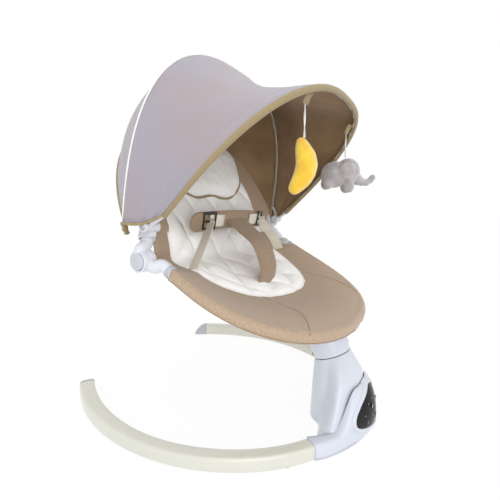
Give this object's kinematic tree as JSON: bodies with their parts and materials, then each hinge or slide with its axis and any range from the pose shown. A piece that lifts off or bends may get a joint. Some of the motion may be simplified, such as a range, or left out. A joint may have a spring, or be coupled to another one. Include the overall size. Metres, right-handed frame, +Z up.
{
  "type": "baby swing",
  "caption": "Electric baby swing: open floor ring with a front housing, a leaning neck that the seat swings on, a reclining hammock seat and a folding canopy with hanging toys.",
  "frame": {"origin": "on the floor, under the middle of the whole swing's box", "axes": "+Z up; the foot end and the control panel face -Y; +X is the right side for someone who faces +Y"},
  "size_m": [0.5394, 0.5756, 0.67],
  "materials": {
    "leg_ivory_plastic": "glossy ivory white",
    "grey_plastic": "satin light grey",
    "rubber": "matt black",
    "housing_white_plastic": "satin cool white",
    "panel_black_gloss": "polished black",
    "circuit_board": "green laminate",
    "black_plastic": "fine matt black",
    "steel": "turned",
    "magnet": "nickel plated magnet",
    "copper": "wound copper",
    "painted_aluminium_tube": "white powder coat",
    "painted_steel_wire": "white powder coat",
    "hub_white_plastic": "satin cool white",
    "linen_fabric": "warm beige linen weave",
    "white_quilting": "soft white quilted cotton",
    "strap_pad_fabric": "padded beige linen",
    "webbing": "light grey woven webbing",
    "canopy_fabric": "thin lilac grey weave, brown lining, khaki piping",
    "yellow_plush": "short yellow plush",
    "grey_plush": "short grey plush",
    "white_cord": "thin white cord"
  },
  "bodies": {
    "base": {"leg_left": "leg_ivory_plastic", "leg_right": "leg_ivory_plastic", "leg_end_cap_left": "grey_plastic", "leg_end_cap_right": "grey_plastic", "foot_pad_front_left": "rubber", "foot_pad_front_right": "rubber", "foot_pad_rear_left": "rubber", "foot_pad_rear_right": "rubber", "chassis_bar": "housing_white_plastic", "front_cover": "housing_white_plastic", "control_panel": "panel_black_gloss", "circuit_board": "circuit_board", "column_shell": "housing_white_plastic", "base_plate": "grey_plastic", "dc_socket": "black_plastic", "bearing_lower": "steel", "bearing_upper": "steel", "bearing_carrier": "housing_white_plastic", "drive_coil": "copper"},
    "seat_frame": {"spindle": "steel", "magnet_arm": "steel", "drive_magnet": "magnet", "neck_collar": "housing_white_plastic", "seat_bracket": "housing_white_plastic", "seat_tube": "painted_aluminium_tube", "seat_cover": "linen_fabric", "seat_insert": "white_quilting", "lower_arm_left": "hub_white_plastic", "lower_arm_right": "hub_white_plastic", "crotch_pad": "strap_pad_fabric", "buckle_left": "black_plastic", "buckle_right": "black_plastic", "waist_strap_left": "webbing", "waist_strap_right": "webbing"},
    "backrest": {"back_tube": "painted_aluminium_tube", "back_cover": "linen_fabric", "back_insert": "white_quilting", "head_pillow": "white_quilting", "upper_arm_left": "hub_white_plastic", "upper_arm_right": "hub_white_plastic", "canopy_clip_left": "hub_white_plastic", "canopy_clip_right": "hub_white_plastic", "hinge_screw_left": "steel", "hinge_screw_right": "steel"},
    "canopy_main": {"bow_main": "painted_steel_wire", "canopy_rear_panel": "canopy_fabric"},
    "canopy_front": {"bow_front": "painted_steel_wire", "canopy_front_panel": "canopy_fabric"},
    "moon": {"toy_moon": "yellow_plush", "toy_cord_moon": "white_cord"},
    "elephant": {"toy_elephant": "grey_plush", "toy_cord_elephant": "white_cord"},
    "power_key": {"key_power": "panel_black_gloss"},
    "speed_key": {"key_speed": "panel_black_gloss"},
    "music_key": {"key_music": "panel_black_gloss"},
    "latch": {"release_latch": "housing_white_plastic"},
    "leg_lock_left": {"leg_lock_button_left": "rubber"},
    "leg_lock_right": {"leg_lock_button_right": "rubber"},
    "recline_press_left": {"recline_button_left": "hub_white_plastic"},
    "recline_press_right": {"recline_button_right": "hub_white_plastic"}
  },
  "joints": [
    {"name": "swing", "type": "hinge", "parent": "base", "child": "seat_frame", "pos_m": [0, -0.20732, 0.124], "axis": [0, 0.3616, 0.9323], "range_deg": [-12, 12]},
    {"name": "recline", "type": "hinge", "parent": "seat_frame", "child": "backrest", "pos_m": [0, 0.03068, 0.311], "axis": [-1, 0, 0], "range_deg": [0, 32]},
    {"name": "canopy_main_fold", "type": "hinge", "parent": "backrest", "child": "canopy_main", "pos_m": [0, 0.02268, 0.364], "axis": [-1, 0, 0], "range_deg": [0, 30], "deforming": ["canopy_rear_panel"]},
    {"name": "canopy_front_fold", "type": "hinge", "parent": "canopy_main", "child": "canopy_front", "pos_m": [0, 0.02268, 0.364], "axis": [-1, 0, 0], "range_deg": [0, 30], "deforming": ["canopy_front_panel"]},
    {"name": "moon_hang", "type": "hinge", "parent": "canopy_front", "child": "moon", "pos_m": [-0.112, -0.18822, 0.54324], "axis": [1, 0, 0], "range_deg": [-50, 50]},
    {"name": "elephant_hang", "type": "hinge", "parent": "canopy_front", "child": "elephant", "pos_m": [0.112, -0.18822, 0.54324], "axis": [1, 0, 0], "range_deg": [-50, 50]},
    {"name": "power_key_press", "type": "slide", "parent": "base", "child": "power_key", "axis": [0, 1, 0], "range_m": [0, 0.001], "stiffness_N_per_m": 400},
    {"name": "speed_key_press", "type": "slide", "parent": "base", "child": "speed_key", "axis": [0, 1, 0], "range_m": [0, 0.001], "stiffness_N_per_m": 400},
    {"name": "music_key_press", "type": "slide", "parent": "base", "child": "music_key", "axis": [0, 1, 0], "range_m": [0, 0.001], "stiffness_N_per_m": 400},
    {"name": "latch_press", "type": "slide", "parent": "seat_frame", "child": "latch", "axis": [0, 0.9323, -0.3616], "range_m": [0, 0.002], "stiffness_N_per_m": 500},
    {"name": "leg_lock_press_left", "type": "slide", "parent": "base", "child": "leg_lock_left", "axis": [-0.8929, -0.4502, 0], "range_m": [0, 0.003], "stiffness_N_per_m": 600},
    {"name": "recline_press_left", "type": "slide", "parent": "backrest", "child": "recline_press_left", "axis": [1, 0, 0], "range_m": [0, 0.003], "stiffness_N_per_m": 600},
    {"name": "leg_lock_press_right", "type": "slide", "parent": "base", "child": "leg_lock_right", "axis": [0.8929, -0.4502, 0], "range_m": [0, 0.003], "stiffness_N_per_m": 600},
    {"name": "recline_press_right", "type": "slide", "parent": "backrest", "child": "recline_press_right", "axis": [-1, 0, 0], "range_m": [0, 0.003], "stiffness_N_per_m": 600}
  ],
  "couplings": [
    {"joint": "canopy_front_fold", "follows": "canopy_main_fold", "ratio": 1}
  ]
}
